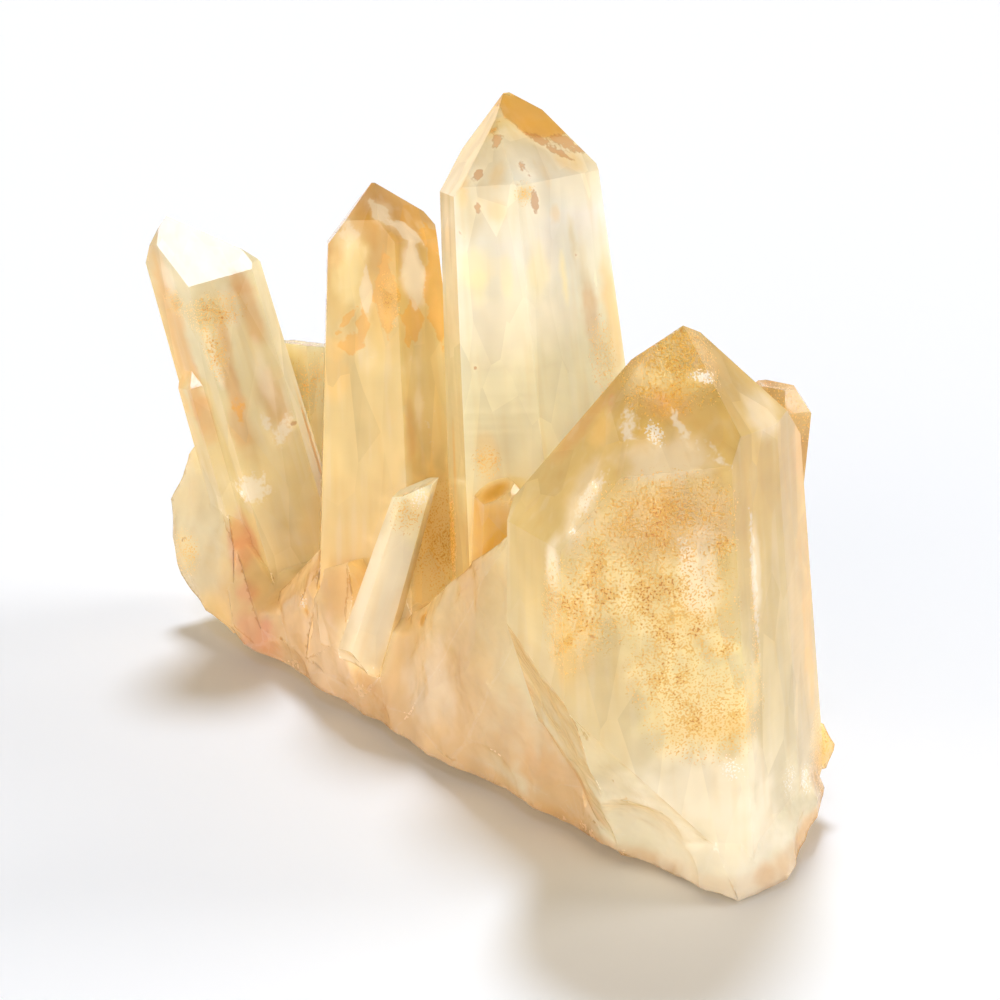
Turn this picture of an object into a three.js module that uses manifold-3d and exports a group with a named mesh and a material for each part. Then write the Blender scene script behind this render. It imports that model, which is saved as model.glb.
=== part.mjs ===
// Quartz cluster: four large hexagonal crystals and several small ones grown together on one root of massive quartz.
// Millimetres. +Z is up, the row of crystals runs along X with the largest one at the +X end, and -Y is the front.
import * as THREE from 'three';
import { ConvexGeometry } from 'three/addons/geometries/ConvexGeometry.js';
import { mergeVertices } from 'three/addons/utils/BufferGeometryUtils.js';
import Module from 'manifold-3d';

const wasm = await Module();
wasm.setup();

// A rhombohedral tip face of quartz stands at this angle to the crystal's long axis.
const tipFaceToAxis = 38.2;
const degree = Math.PI / 180;
const roundOff = 0.001;

// Massive quartz root: outline of the seat it rests on, its lower rim, and its crown under the crystals.
const seat = [
  [-80, -4], [-60, -9], [-20, -9], [20, -10], [52, -9], [71, -7], [72, 3], [62, 18], [24, 26], [-30, 26], [-74, 20],
  [-87, 6],
];
const rim = [
  [-83, -14, 8], [-68, -16, 4], [-48, -15.5, 4], [-31, -15.5, 4], [-11, -17.5, 3.5], [4, -17.5, 4], [26, -17.5, 4],
  [46, -16, 3], [61, -15, 2.5], [69, -12.5, 2], [76.5, -10, 1], [78, 2, 1.5], [75, 12, 4], [71, 18, 10], [67, 25, 8],
  [42, 33, 8], [10, 34, 7], [-30, 34, 9], [-66, 29, 8], [-88, 20, 9], [-95, 4, 10],
];
const crown = [
  [-84, -2, 16], [-66, -6, 14], [-40, -6, 20], [-16, -8, 22], [14, -10, 30], [40, -10, 32], [71, -11, 12], [73, -6, 15],
  [71, 10, 14], [66, 16, 24], [40, 26, 34], [8, 28, 32], [-30, 28, 26], [-66, 24, 24], [-84, 14, 20],
];

// Four large crystals. at: point on the long axis. lean: degrees off upright toward +X and toward +Y. turn: degrees
// from the front round to face 0. prism: distance of the six side faces from the axis at that point, which the taper
// in degrees narrows upward. tip: height along the axis at which each of the six tip faces meets it. down: how far the
// crystal goes below the point. side: further side faces. broken: fractures, each the plane through three points.
const leftCrystal = {
  at: [-77, 4, 16], lean: [-10.5, -9], turn: 58.7, taper: 0.9, down: 10,
  prism: [10.5, 14.4, 9, 11.3, 13.2, 9.5], tip: [81.8, 87.8, 80.1, 86.2, 90, 89.5],
};
const middleCrystal = {
  at: [-37, 3.6, 29], lean: [-10.4, 6.6], turn: 24, taper: 4.2, down: 16,
  prism: [15.1, 16.9, 16, 16.2, 16.2, 16.8], tip: [85.9, 84.1, 85.5, 76.1, 83.1, 83.7],
};
const tallCrystal = {
  at: [0.9, 13, 38.5], lean: [-9.2, 1.7], turn: 32.7, taper: 3.2, down: 26,
  prism: [18.8, 14.8, 20.2, 17.7, 15.5, 19.4], tip: [97.3, 91.9, 99.9, 99.1, 98.5, 96.4],
};
const bigCrystal = {
  at: [49.1, -2.3, 25.3], lean: [1.5, -6], turn: 54.2, taper: 3.1, down: 22,
  prism: [23.4, 24.9, 28.2, 26.1, 23.2, 30.5], tip: [87.9, 90.6, 87.7, 77.1, 79, 85.2],
  side: [{ turn: 50, distance: 23.9 }],
  broken: [
    [[40.5, -33.5, 51], [55.8, -33.6, 39.7], [44, -13, 3]],
    [[55.8, -33.6, 39.7], [70.6, -11.8, 11.9], [59, -12, 3]],
    [[66, 24, 10], [75, 11, 4], [72, 12, 1]],
    [[57.3, -9.6, 107], [53.9, -14.9, 103], [47.5, -7, 100.4]],
  ],
};

// Small crystals, most of them with a broken top.
const smallCrystals = {
  leftGrowth: {
    at: [-80.8, -3.2, 16], lean: [-10.5, -9], turn: 58.7, taper: 1, down: 8,
    prism: [5, 5, 5, 5, 5, 5], tip: [50, 50, 50, 52, 51, 50],
  },
  whiteCrystal: {
    at: [-25.4, -13, 22], lean: [8, 16], turn: 53, taper: 2.2, down: 9,
    prism: [3.8, 4.8, 4.6, 3.6, 4.6, 4.8], tip: [50, 50, 50, 50, 50, 50],
    broken: [[[-22.6, -7.2, 51.5], [-18.5, -2.6, 54], [-24, 0, 53]]],
  },
  amberCrystal: {
    at: [5.5, -5.5, 50], lean: [0, 2], turn: 40, taper: 1, down: 20,
    prism: [4.4, 4.5, 4.4, 4.6, 4.5, 4.3], tip: [15, 16, 15, 15, 15, 15],
    broken: [[[3, -8, 59], [9, -8, 60], [6, -2, 62.5]]],
  },
  rearRightCrystal: {
    at: [44, 27, 40], lean: [1, 5], turn: 20, taper: 1, down: 26,
    prism: [7, 7.5, 7, 6.5, 7, 7.5], tip: [48, 49, 48, 47, 49, 48],
    broken: [[[38, 28, 84], [46, 25, 84.5], [44, 36, 83]]],
  },
  rearLeftCrystal: {
    at: [-80, 15, 24], lean: [-6, 4], turn: 15, taper: 1, down: 14,
    prism: [9, 9.5, 8.5, 9, 9.5, 9], tip: [55, 54, 55, 56, 54, 55],
    broken: [[[-90, 12, 64], [-76, 14, 65.5], [-82, 24, 62]]],
  },
  backCrystalA: {
    at: [-52, 20, 22], lean: [-8, 16], turn: 10, taper: 1.5, down: 12,
    prism: [8, 8.5, 8, 7.5, 8, 8.5], tip: [33, 34, 33, 32, 34, 34],
  },
  backCrystalB: {
    at: [-17, 25, 24], lean: [6, 20], turn: 35, taper: 1.5, down: 14,
    prism: [9, 9.5, 9, 8.5, 9, 9], tip: [36, 35, 36, 37, 36, 35],
  },
  backCrystalC: {
    at: [19, 27, 24], lean: [5, 15], turn: 5, taper: 1.5, down: 14,
    prism: [7, 7.5, 7.5, 7, 6.5, 7], tip: [29, 30, 29, 28, 29, 30],
  },
};

// Broken chunks and ledges of massive quartz, each the hull of its corners.
const chunks = {
  farChunk: [
    [-95, -7, 43], [-100, -12, 28.5], [-98.5, -12.5, 18], [-94, -14.5, 12], [-83, -16, 7], [-73, -15, 4.5],
    [-76, -12, 24], [-88, -6, 40], [-96, 10, 40], [-99, 12, 20], [-92, 16, 8], [-78, 12, 30],
  ],
  redLedge: [
    [-83, -9, 31], [-79, -12, 20], [-72, -16, 7], [-60, -15.5, 4.5], [-66, -7, 14], [-80, -3, 24], [-70, 2, 8],
  ],
  frontStubLeft: [
    [-47, -10, 32.5], [-42, -13.5, 31], [-62.5, -9.5, 17], [-49, -14.5, 20], [-60, -13, 9], [-46, -15.5, 8],
    [-40, 2, 28], [-58, 4, 14],
  ],
  frontStubRight: [
    [-38.5, -15.5, 32], [-31.5, -14.3, 35.5], [-29.5, -15, 27.5], [-30, -17, 19], [-46, -15.5, 8], [-28, -16, 6],
    [-34, 0, 33], [-26, 0, 22], [-42, 0, 24],
  ],
  frontWall: [
    [-21, -8, 23.5], [20, -15, 59], [36, -18, 60], [-20, -12.5, 12], [-12, -16, 6], [4, -17.5, 5], [30, -17.5, 4],
    [42, -16, 4], [-16, 6, 20], [16, 8, 50], [36, 8, 54],
  ],
  sideNub: [
    [60, 27, 6], [65, 28, 10], [65, 30, 15], [62.5, 29, 19], [61, 23, 22], [56, 30, 14], [65, 24, 13],
  ],
};

// Conchoidal fractures round the foot: centre and radius of the sphere whose bite each one is.
const bites = [
  [-54, -38, 3, 24], [-25, -42, 4, 27], [15, -50, 2, 34], [40, -38, 2, 23.5], [63, -32, 2, 20.5], [99, -9, 8, 23],
  [94, 20, 8, 23], [56, 60, 8, 30], [20, 66, 10, 34], [-14, 58, 12, 26], [-48, 62, 8, 32], [-84, 46, 14, 24],
  [-118, 4, 22, 21], [-104, -34, 20, 22],
];
const biteSteps = 44;

// Plane through three points, facing away from a point inside.
function planeThrough(threePoints, inside) {
  const [a, b, c] = threePoints.map((point) => new THREE.Vector3(...point));
  const normal = new THREE.Vector3().crossVectors(b.clone().sub(a), c.clone().sub(a)).normalize();
  if (normal.dot(inside) > normal.dot(a)) normal.negate();
  return { normal, offset: normal.dot(a) };
}

function crystalPlanes(spec) {
  const axis = new THREE.Vector3(Math.tan(spec.lean[0] * degree), Math.tan(spec.lean[1] * degree), 1).normalize();
  const front = new THREE.Vector3(0, -1, 0).addScaledVector(axis, axis.y).normalize();
  const right = new THREE.Vector3().crossVectors(axis, front);
  const at = new THREE.Vector3(...spec.at);
  const facing = (turn) => {
    const sideways = right.clone().multiplyScalar(Math.sin(turn * degree));
    return sideways.addScaledVector(front, Math.cos(turn * degree));
  };
  const planes = [];
  const addSide = (turn, distance) => {
    const taper = spec.taper * degree;
    const normal = facing(turn).multiplyScalar(Math.cos(taper)).addScaledVector(axis, Math.sin(taper));
    planes.push({ normal, offset: normal.dot(at) + distance * Math.cos(taper) });
  };
  const addTip = (turn, height) => {
    const slope = tipFaceToAxis * degree;
    const normal = facing(turn).multiplyScalar(Math.cos(slope)).addScaledVector(axis, Math.sin(slope));
    planes.push({ normal, offset: normal.dot(at) + height * Math.sin(slope) });
  };
  for (let face = 0; face < 6; face += 1) {
    addSide(spec.turn + 60 * face, spec.prism[face]);
    addTip(spec.turn + 60 * face, spec.tip[face]);
  }
  for (const side of spec.side ?? []) addSide(spec.turn + side.turn, side.distance);
  for (const fracture of spec.broken ?? []) planes.push(planeThrough(fracture, at));
  const below = axis.clone().negate();
  planes.push({ normal: below, offset: below.dot(at) + spec.down });
  return planes;
}

// Corners of the space inside all the planes.
function corners(planes) {
  const found = [];
  for (let a = 0; a < planes.length; a += 1) {
    for (let b = a + 1; b < planes.length; b += 1) {
      for (let c = b + 1; c < planes.length; c += 1) {
        const [p, q, r] = [planes[a], planes[b], planes[c]];
        const qr = new THREE.Vector3().crossVectors(q.normal, r.normal);
        const rp = new THREE.Vector3().crossVectors(r.normal, p.normal);
        const pq = new THREE.Vector3().crossVectors(p.normal, q.normal);
        const volume = p.normal.dot(qr);
        if (Math.abs(volume) < 1e-4) continue;
        const corner = qr.multiplyScalar(p.offset).addScaledVector(rp, q.offset).addScaledVector(pq, r.offset);
        corner.divideScalar(volume);
        if (planes.every((plane) => plane.normal.dot(corner) <= plane.offset + roundOff)) found.push(corner);
      }
    }
  }
  return found;
}

function solidOf(geometry) {
  const bare = geometry.clone();
  for (const name of Object.keys(bare.attributes)) if (name !== 'position') bare.deleteAttribute(name);
  const welded = mergeVertices(bare, roundOff);
  return new wasm.Manifold(new wasm.Mesh({
    numProp: 3,
    vertProperties: Float32Array.from(welded.attributes.position.array),
    triVerts: Uint32Array.from(welded.index.array),
  }));
}

const hull = (list) => solidOf(new ConvexGeometry(list.map((point) => new THREE.Vector3(...point))));
const crystal = (spec) => solidOf(new ConvexGeometry(corners(crystalPlanes(spec))));

const root = hull([...seat.map(([x, y]) => [x, y, 0]), ...rim, ...crown]);
let cluster = root;
for (const spec of [leftCrystal, middleCrystal, tallCrystal, bigCrystal]) cluster = cluster.add(crystal(spec));
for (const spec of Object.values(smallCrystals)) cluster = cluster.add(crystal(spec));
for (const list of Object.values(chunks)) cluster = cluster.add(hull(list));
for (const [x, y, z, radius] of bites) {
  const ball = new THREE.SphereGeometry(radius, biteSteps, biteSteps / 2).translate(x, y, z);
  cluster = cluster.subtract(solidOf(ball));
}

function geometryOf(solid) {
  const mesh = solid.getMesh();
  const geometry = new THREE.BufferGeometry();
  geometry.setAttribute('position', new THREE.BufferAttribute(Float32Array.from(mesh.vertProperties), 3));
  geometry.setIndex(Array.from(mesh.triVerts));
  const flat = geometry.toNonIndexed();
  flat.computeVertexNormals();
  return flat;
}

const quartz = new THREE.MeshStandardMaterial({ color: 0xe9d5ae, roughness: 0.15, metalness: 0 });
const quartzCluster = new THREE.Mesh(geometryOf(cluster), quartz);
quartzCluster.name = 'quartz_cluster';

// The origin is the middle of the cluster's box, at the level it rests on.
quartzCluster.geometry.computeBoundingBox();
const box = quartzCluster.geometry.boundingBox;
quartzCluster.geometry.translate(-(box.min.x + box.max.x) / 2, -(box.min.y + box.max.y) / 2, -box.min.z);

const part = new THREE.Group();
part.add(quartzCluster);
export default part;
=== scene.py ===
import functools
import math

import bmesh
import bpy
import numpy as np
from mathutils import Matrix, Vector


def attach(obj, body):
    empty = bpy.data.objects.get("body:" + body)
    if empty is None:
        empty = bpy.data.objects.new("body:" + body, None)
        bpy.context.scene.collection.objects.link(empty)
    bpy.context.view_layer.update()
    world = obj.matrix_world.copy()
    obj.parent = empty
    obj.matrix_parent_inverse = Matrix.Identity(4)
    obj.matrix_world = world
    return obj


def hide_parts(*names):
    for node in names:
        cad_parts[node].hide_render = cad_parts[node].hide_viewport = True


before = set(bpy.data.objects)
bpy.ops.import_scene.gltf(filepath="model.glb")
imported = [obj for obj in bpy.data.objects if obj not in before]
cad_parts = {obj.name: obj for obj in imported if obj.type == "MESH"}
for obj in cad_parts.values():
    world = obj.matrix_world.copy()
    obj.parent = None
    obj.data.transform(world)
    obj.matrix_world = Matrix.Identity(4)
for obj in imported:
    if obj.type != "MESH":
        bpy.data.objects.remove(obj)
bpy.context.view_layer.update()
mm = 0.001


# sRGB hex to linear light; every colour in the file goes through here
def linear(hexText):
    parts = [int(hexText[i:i + 2], 16) / 255 for i in (1, 3, 5)]
    return tuple(v / 12.92 if v <= 0.04045 else ((v + 0.055) / 1.055) ** 2.4 for v in parts)


# one node with its settings and links: values go to its sockets by place or by name, a value that is another node's
# output is linked, and what comes back is the output of the given place or name
def addNode(tree, kind, values=(), out=0, **settings):
    node = tree.nodes.new("ShaderNode" + kind)
    for name, value in settings.items():
        setattr(node, name, value)
    for name, value in values.items() if isinstance(values, dict) else enumerate(values):
        if isinstance(value, bpy.types.NodeSocket):
            tree.links.new(value, node.inputs[name])
        else:
            node.inputs[name].default_value = value
    return node.outputs[out] if len(node.outputs) else node


# camera at the photograph's place: it looks along the row from the big crystal's end
cameraPlace = {
    "azimuth": 48.0, "elevation": 22.0,  # degrees
    "aim": (12.4, -3.3, 55.0), "distance": 470.0,  # mm
    "focalPixels": 2350.0, "framePixels": 1000.0,
}


def makeCamera(place):
    azimuth, elevation = math.radians(place["azimuth"]), math.radians(place["elevation"])
    level = math.cos(elevation)
    look = Vector((-math.sin(azimuth) * level, math.cos(azimuth) * level, -math.sin(elevation)))
    data = bpy.data.cameras.new("camera")
    data.sensor_width = 36.0
    data.lens = data.sensor_width * place["focalPixels"] / place["framePixels"]
    data.clip_start = 0.01
    data.clip_end = 50.0
    camera = bpy.data.objects.new("camera", data)
    camera.location = (Vector(place["aim"]) - look * place["distance"]) * mm
    camera.rotation_euler = look.to_track_quat("-Z", "Y").to_euler()
    bpy.context.scene.collection.objects.link(camera)
    bpy.context.scene.camera = camera


makeCamera(cameraPlace)
print("camera set")


# crystals as placed in the solid: a point on the axis (mm), lean off upright toward +X and +Y, turn of face 0 from
# the front, girth of the prism, the reach of the crystal from that point down and up its axis, the taper of its
# prism faces, and the turn of a seventh face where it has one; angles in degrees
crystals = {
    "left": {
        "at": (-64.6, 0.7, 16), "lean": (-10.5, -9), "turn": 58.7, "girth": 14, "reach": (-8, 92), "taper": 0.9,
    },
    "middle": {
        "at": (-24.6, 0.3, 29), "lean": (-10.4, 6.6), "turn": 24, "girth": 17.5, "reach": (-6, 86), "taper": 4.2,
    },
    "tall": {
        "at": (13.3, 9.7, 38.5), "lean": (-9.2, 1.7), "turn": 32.7, "girth": 20.5, "reach": (-12, 100), "taper": 3.2,
    },
    "big": {
        "at": (61.5, -5.6, 25.3), "lean": (1.5, -6), "turn": 54.2, "girth": 31, "reach": (-18, 92), "taper": 3.1,
        "extraFace": 50,
    },
    "white": {
        "at": (-13.0, -16.3, 22), "lean": (8, 16), "turn": 53, "girth": 5.6, "reach": (-8, 40), "taper": 1.0,
    },
    "amber": {
        "at": (17.9, -8.8, 50), "lean": (0, 2), "turn": 40, "girth": 5.4, "reach": (-16, 14), "taper": 1.0,
    },
    "rearRight": {
        "at": (56.4, 23.7, 40), "lean": (1, 5), "turn": 20, "girth": 8.6, "reach": (-24, 48), "taper": 1.0,
    },
    "rearLeft": {
        "at": (-67.6, 11.7, 24), "lean": (-6, 4), "turn": 15, "girth": 10.5, "reach": (-8, 44), "taper": 1.0,
    },
    "backA": {
        "at": (-39.6, 16.7, 22), "lean": (-8, 16), "turn": 10, "girth": 9.4, "reach": (-4, 35), "taper": 1.5,
    },
    "backB": {
        "at": (-4.6, 21.7, 24), "lean": (6, 20), "turn": 35, "girth": 10.4, "reach": (-4, 38), "taper": 1.5,
    },
    "backC": {
        "at": (31.4, 23.7, 24), "lean": (5, 15), "turn": 5, "girth": 8.4, "reach": (-4, 31), "taper": 1.5,
    },
}


# unit vectors of a crystal: along its axis, toward its front and toward its right
def axes(spec):
    along = np.array([math.tan(math.radians(lean)) for lean in spec["lean"]] + [1.0])
    along /= np.linalg.norm(along)
    front = np.array([0.0, -1.0, 0.0])
    front -= (front @ along) * along
    front /= np.linalg.norm(front)
    return along, front, np.cross(along, front)


# height along the axis, distance from it and angle round it from face 0, for points in mm
def crystalPlace(points, spec):
    along, front, right = axes(spec)
    off = points - np.array(spec["at"])
    height = off @ along
    out = off - height[:, None] * along
    angle = np.degrees(np.arctan2(out @ right, out @ front)) - spec["turn"]
    return height, np.linalg.norm(out, axis=1), angle


latticeSize = 4096  # random values shared out over the cells of a lattice


# a row of the random values for each lattice cell
def cellIndex(cell):
    return (cell[:, 0] * 73856093 ^ cell[:, 1] * 19349663 ^ cell[:, 2] * 83492791) % latticeSize


# gradient noise on whole arrays: random unit slopes at the corners of a lattice of cells of the given size in mm,
# blended with a smooth step, about -1 to 1
def noise(points, size, seed):
    slopes = np.random.default_rng(seed).normal(size=(latticeSize, 3))
    slopes /= np.linalg.norm(slopes, axis=1)[:, None]
    p = points / size
    cell = np.floor(p).astype(np.int64)
    f = p - cell
    w = f * f * f * (f * (f * 6 - 15) + 10)
    total = np.zeros(len(p))
    for corner in np.ndindex(2, 2, 2):
        dot = np.einsum("ij,ij->i", slopes[cellIndex(cell + corner)], f - corner)
        total += dot * np.prod(np.where(corner, w, 1 - w), axis=1)
    return total * 1.6


# distance to the nearest of the points strewn one to a lattice cell, in cells: bowls that meet at sharp crests
def bowls(points, size, seed):
    strewn = np.random.default_rng(seed).random((latticeSize, 3))
    p = points / size
    cell = np.floor(p).astype(np.int64)
    nearest = np.full(len(p), 9.0)
    for step in np.ndindex(3, 3, 3):
        near = cell + np.array(step) - 1
        nearest = np.minimum(nearest, np.linalg.norm(near + strewn[cellIndex(near)] - p, axis=1))
    return nearest


def smoothStep(low, high, x):
    t = np.clip((x - low) / (high - low), 0, 1)
    return t * t * (3 - 2 * t)


quartzShape = {
    "weld": 0.02,  # mm, points nearer than this become one
    "flatWithin": 0.6,  # degrees between triangles of one flat face
    "edgeWear": 0.28,  # mm, the narrow worn edge between two faces
    "wearFrom": 14.0,  # degrees between two faces whose edge is worn
    "slenderFace": 2.2,  # a face narrower than this many worn edges is part of a worn edge
    "meshStep": 1.55,  # mm, longest mesh edge on the side that the camera sees
    "hiddenStep": 3.2,  # mm, the same on the far side
    "seatStep": 8.0,  # mm, the same on the flat seat
    "farSide": -0.1,  # a face whose normal points less toward the camera than this is on the far side
    "seatFacing": -0.99,  # a face whose normal points down more than this is part of the seat
    "cutPasses": 9,  # the most times that long edges are halved
    "faceMatch": 2.5,  # degrees between a face and the crystal form it belongs to
    "faceReach": 1.05,  # how far out a face may lie, in girths of its crystal
    "tipSlope": 38.2,  # degrees between a tip face and the axis
    "brokenDepth": 0.6,  # mm, relief of broken quartz
    "lump": (9.0, 0.8),  # mm across a lump, and its share of the relief
    "scoop": (12.0, 2.2),  # the same of a shell-like scoop
    "smallScoop": (5.0, 0.44),
    "ripple": (2.4, 0.12),
    "rimBend": (7.0, 2.5),  # mm from bend to bend of the scoops' rims, and how far they bend
    "relief": -1.1,  # the relief's middle, so that it lies as much inside the solid's face as outside
    "fadePasses": 3,  # points over which relief fades toward a grown face
    "evenPasses": 6,  # times the normals are evened out
    "seatFade": (0.4, 2.0),  # mm above the table over which relief sets in
    "smoothFrom": 0.2,  # share of relief from which a face is shaded smoothly
}


# true for each face that is a growth face of some crystal, false where the quartz is broken
def growthFaces(centres, normals, shape):
    grown = np.zeros(len(centres), bool)
    for spec in crystals.values():
        height, radius, _ = crystalPlace(centres, spec)
        along, front, right = axes(spec)
        low, high = spec["reach"]
        near = (radius < spec["girth"] * shape["faceReach"]) & (height > low) & (height < high)
        turns = [spec["turn"] + 60 * face for face in range(6)]
        if "extraFace" in spec:
            turns.append(spec["turn"] + spec["extraFace"])
        for slope in (spec["taper"], shape["tipSlope"]):
            for turn in turns:
                outward = math.sin(math.radians(turn)) * right + math.cos(math.radians(turn)) * front
                wanted = outward * math.cos(math.radians(slope)) + along * math.sin(math.radians(slope))
                grown |= near & (normals @ wanted > math.cos(math.radians(shape["faceMatch"])))
    return grown


# the solid's loose triangles welded, its flat faces joined again, its edges worn, then cut finely enough to carry
# colour and relief; growth faces are told from broken ones, which alone later get relief along their normals
def makeQuartz(shape):
    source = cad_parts["quartz_cluster"]
    mesh = source.data.copy()
    mesh.name = "quartzCluster"
    body = bmesh.new()
    body.from_mesh(mesh)
    bmesh.ops.remove_doubles(body, verts=body.verts, dist=shape["weld"] * mm)
    flat = math.radians(shape["flatWithin"])
    bmesh.ops.dissolve_limit(body, angle_limit=flat, verts=body.verts, edges=body.edges)
    body.to_mesh(mesh)
    body.free()
    piece = bpy.data.objects.new("quartzCluster", mesh)
    bpy.context.scene.collection.objects.link(piece)
    wear = piece.modifiers.new("wear", "BEVEL")
    wear.width = shape["edgeWear"] * mm
    wear.segments = 1
    wear.limit_method = "ANGLE"
    wear.angle_limit = math.radians(shape["wearFrom"])
    wear.use_clamp_overlap = True
    bpy.context.view_layer.update()
    depsgraph = bpy.context.evaluated_depsgraph_get()
    worn = bpy.data.meshes.new_from_object(piece.evaluated_get(depsgraph))
    piece.modifiers.clear()
    body = bmesh.new()
    body.from_mesh(worn)
    bpy.data.meshes.remove(worn)
    bmesh.ops.remove_doubles(body, verts=body.verts, dist=shape["weld"] * mm)
    bmesh.ops.triangulate(body, faces=body.faces)
    body.normal_update()
    centres = np.array([f.calc_center_median() for f in body.faces]) / mm
    normals = np.array([f.normal for f in body.faces])
    grown = growthFaces(centres, normals, shape)
    grownLayer, wornLayer = body.faces.layers.int.new("grown"), body.faces.layers.int.new("worn")
    stepLayer = body.faces.layers.float.new("step")
    azimuth = math.radians(cameraPlace["azimuth"])
    toward = Vector((math.sin(azimuth), -math.cos(azimuth), 0))
    for face, isGrown in zip(body.faces, grown):
        width = 2 * face.calc_area() / max(e.calc_length() for e in face.edges)
        slender = width < shape["edgeWear"] * shape["slenderFace"] * mm
        face[grownLayer], face[wornLayer] = int(isGrown), int(slender and not isGrown)
        step = "meshStep" if face.normal.dot(toward) > shape["farSide"] else "hiddenStep"
        step = "seatStep" if face.normal.z < shape["seatFacing"] else step
        face[stepLayer] = shape[step] * mm
    for _ in range(shape["cutPasses"]):
        long = [e for e in body.edges if e.calc_length() > min(f[stepLayer] for f in e.link_faces)]
        if not long:
            break
        bmesh.ops.subdivide_edges(body, edges=long, cuts=1)
        bmesh.ops.triangulate(body, faces=[f for f in body.faces if len(f.verts) > 3])
    body.to_mesh(mesh)
    body.free()
    return piece


quartz = makeQuartz(quartzShape)
print("quartz mesh", len(quartz.data.vertices), "points", len(quartz.data.polygons), "faces")


# a value of the mesh's points, edges or faces as an array, with the given number of columns
def readRows(items, name, columns, kind=float):
    flat = np.empty(len(items) * columns, kind)
    items.foreach_get(name, flat)
    return flat.reshape(-1, columns)


def unit(vectors):
    return vectors / np.maximum(np.linalg.norm(vectors, axis=1), 1e-12)[:, None]


# relief on broken quartz along the smooth normal: lumps, ripples and the squared distance of the bowls, which makes
# shell-like scoops; it fades to nothing at grown faces and at the seat
def roughen(piece, shape):
    mesh = piece.data
    points = readRows(mesh.vertices, "co", 3)
    faces = readRows(mesh.polygons, "vertices", 3, int)
    edges = readRows(mesh.edges, "vertices", 2, int)
    grown = readRows(mesh.attributes["grown"].data, "value", 1, int)[:, 0]
    worn = readRows(mesh.attributes["worn"].data, "value", 1, int)[:, 0]
    broken = np.ones(len(points))
    broken[faces[grown > 0].ravel()] = 0.0
    for _ in range(shape["fadePasses"]):
        total, hits = broken.copy(), np.ones(len(points))
        for a, b in ((0, 1), (1, 0)):
            np.add.at(total, edges[:, a], broken[edges[:, b]])
            np.add.at(hits, edges[:, a], 1.0)
        broken = np.minimum(broken, total / hits)
    corners = points[faces]
    cross = np.cross(corners[:, 1] - corners[:, 0], corners[:, 2] - corners[:, 0])
    normals = np.zeros_like(points)
    for corner in range(3):
        np.add.at(normals, faces[:, corner], cross)
    normals = unit(normals)
    for _ in range(shape["evenPasses"]):  # evened out, so that relief never folds over in a crease
        around = normals.copy()
        for a, b in ((0, 1), (1, 0)):
            np.add.at(around, edges[:, a], normals[edges[:, b]])
        normals = unit(around)
    p = points / mm
    bendSize, bendReach = shape["rimBend"]
    bent = p + bendReach * noise(p, bendSize, 3)[:, None]
    relief = (shape["relief"] + shape["lump"][1] * noise(p, shape["lump"][0], 1)
              + shape["scoop"][1] * bowls(bent, shape["scoop"][0], 4) ** 2
              + shape["smallScoop"][1] * bowls(bent, shape["smallScoop"][0], 6) ** 2
              + shape["ripple"][1] * noise(p, shape["ripple"][0], 5))
    seat = smoothStep(*shape["seatFade"], p[:, 2])
    moved = points + normals * (relief * broken * seat * shape["brokenDepth"] * mm)[:, None]
    moved[:, 2] = np.maximum(moved[:, 2], 0)
    mesh.vertices.foreach_set("co", moved.ravel())
    mesh.polygons.foreach_set("use_smooth", broken[faces].min(1) > shape["smoothFrom"])
    mesh.update()
    # worn edges, which the material whitens: partly real wear, partly a painted highlight
    edgeWearAndHighlight = np.zeros(len(points))
    edgeWearAndHighlight[faces[worn > 0].ravel()] = 1.0
    return broken, edgeWearAndHighlight


broken, edgeWearAndHighlight = roughen(quartz, quartzShape)
print("broken faces roughened")


# colour of each crystal from foot to tip: height along the axis (mm), colour, milkiness, where 1 is not clear at all
quartzTint = {
    "left": [
        (0, "#F6DCA8", 0.8), (25, "#F6E0A8", 0.75), (60, "#F8EAC0", 0.7), (80, "#F8ECCC", 0.65),
        (90, "#FAF4E2", 0.5),
    ],
    "middle": [
        (0, "#F5D290", 0.85), (25, "#F6D898", 0.8), (45, "#F8DC9C", 0.75), (58, "#F7D080", 0.7),
        (80, "#E6AA4A", 0.65),
    ],
    "tall": [
        (0, "#F8E2AC", 0.85), (40, "#FCF2CE", 0.8), (70, "#FFFEF8", 0.8), (88, "#F6DCA8", 0.65),
        (96, "#F3CC88", 0.65),
    ],
    "big": [
        (-10, "#EFE6CC", 0.9), (10, "#EDDCB2", 0.85), (45, "#ECCE8C", 0.75), (70, "#ECC678", 0.65),
        (86, "#D49C42", 0.65),
    ],
    "white": [(-5, "#FAE4BC", 0.9), (30, "#FCF0D0", 0.85)],
    "amber": [(-10, "#FFC64C", 0.85), (10, "#FCBC36", 0.8)],
    "rearRight": [(0, "#F2D69C", 0.75), (45, "#D89C4C", 0.7)],
    "rearLeft": [(0, "#F3DFB0", 0.75), (40, "#F6E8C2", 0.75)],
    "backA": [(0, "#F5DCAA", 0.8), (30, "#F7E6BC", 0.7)],
    "backB": [(0, "#F5DCAA", 0.8), (30, "#F6E0B0", 0.7)],
    "backC": [(0, "#F5DCAA", 0.8), (30, "#F7E2B4", 0.7)],
    "root": [(0, "#F2C696", 0.85), (18, "#F3CA92", 0.8), (50, "#F4CF90", 0.75)],
}

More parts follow.
